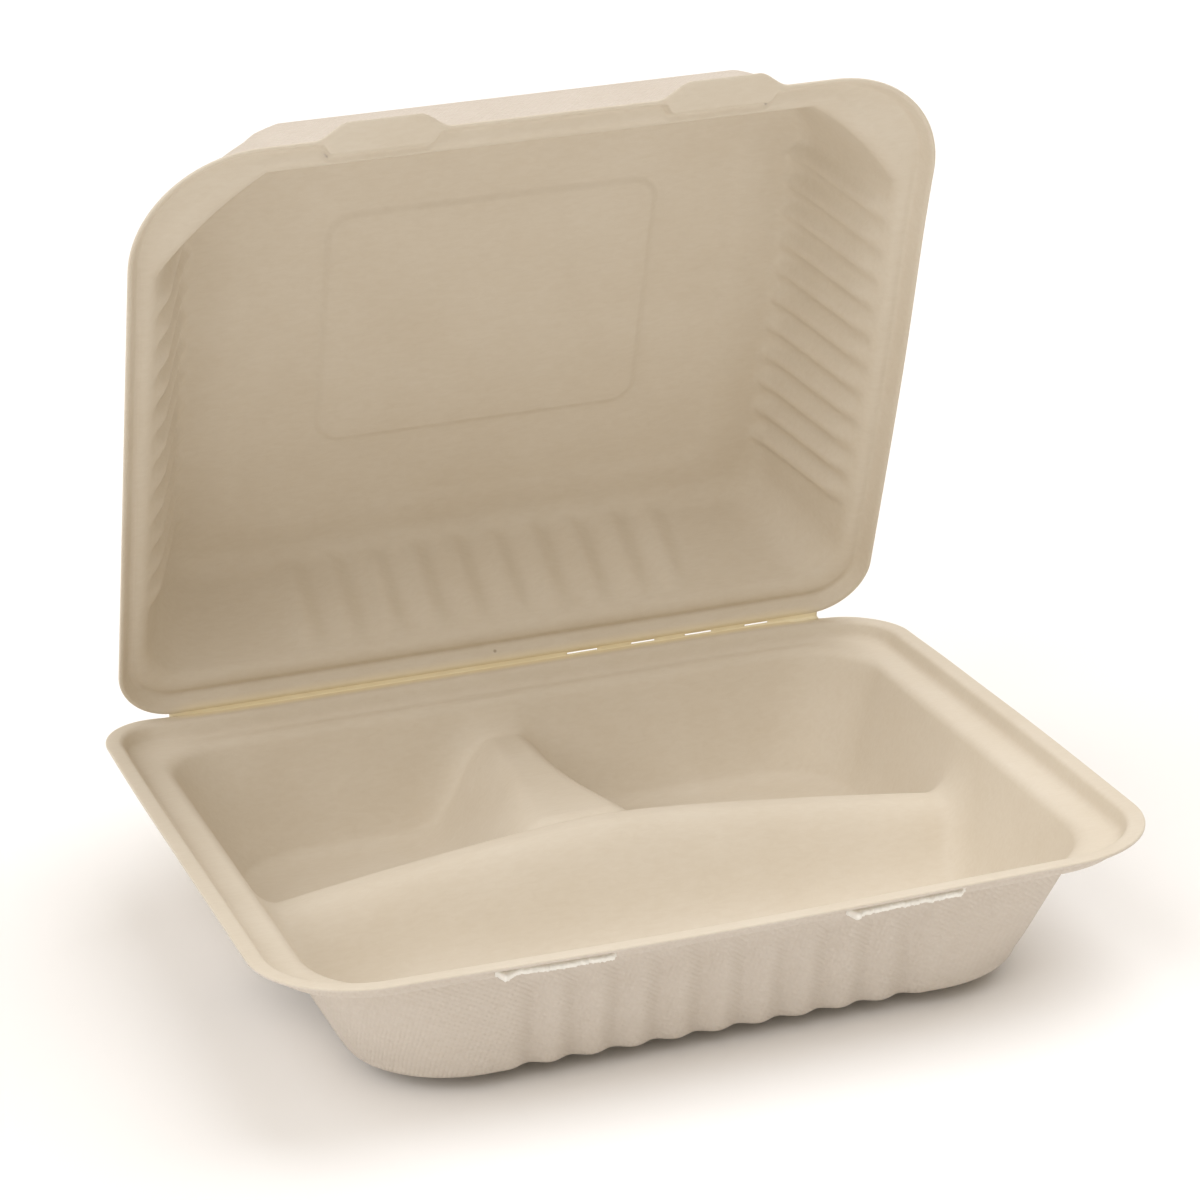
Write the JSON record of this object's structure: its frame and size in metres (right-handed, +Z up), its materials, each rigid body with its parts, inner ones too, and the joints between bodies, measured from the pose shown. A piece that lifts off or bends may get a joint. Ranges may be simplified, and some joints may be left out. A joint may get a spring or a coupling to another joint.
{
  "type": "three-compartment clamshell food container",
  "caption": "Moulded-pulp clamshell food container with a ribbed hinged lid, a tray split by a cross ridge and a middle ridge, and front tabs that push into slots under the rim.",
  "frame": {"origin": "on the plane the tray stands on, at the middle of the flat foot under the front compartment", "axes": "+X along the fold between lid and tray, to the right seen from the front; -Y towards the front edge with the slots; +Z up"},
  "size_m": [0.235, 0.2211, 0.2227],
  "materials": {
    "pulp": "matt pressed pulp, smooth inside and with a fine screen texture outside",
    "pulp_lid": "matt pressed pulp, smooth inside and with a fine screen texture outside"
  },
  "bodies": {
    "tray": {"base_tray": "pulp"},
    "lid": {"lid": "pulp_lid"}
  },
  "joints": [
    {"name": "lid_hinge", "type": "hinge", "parent": "tray", "child": "lid", "pos_m": [0, 0.142, 0.043], "axis": [-1, 0, 0], "range_deg": [-67, 113]}
  ]
}
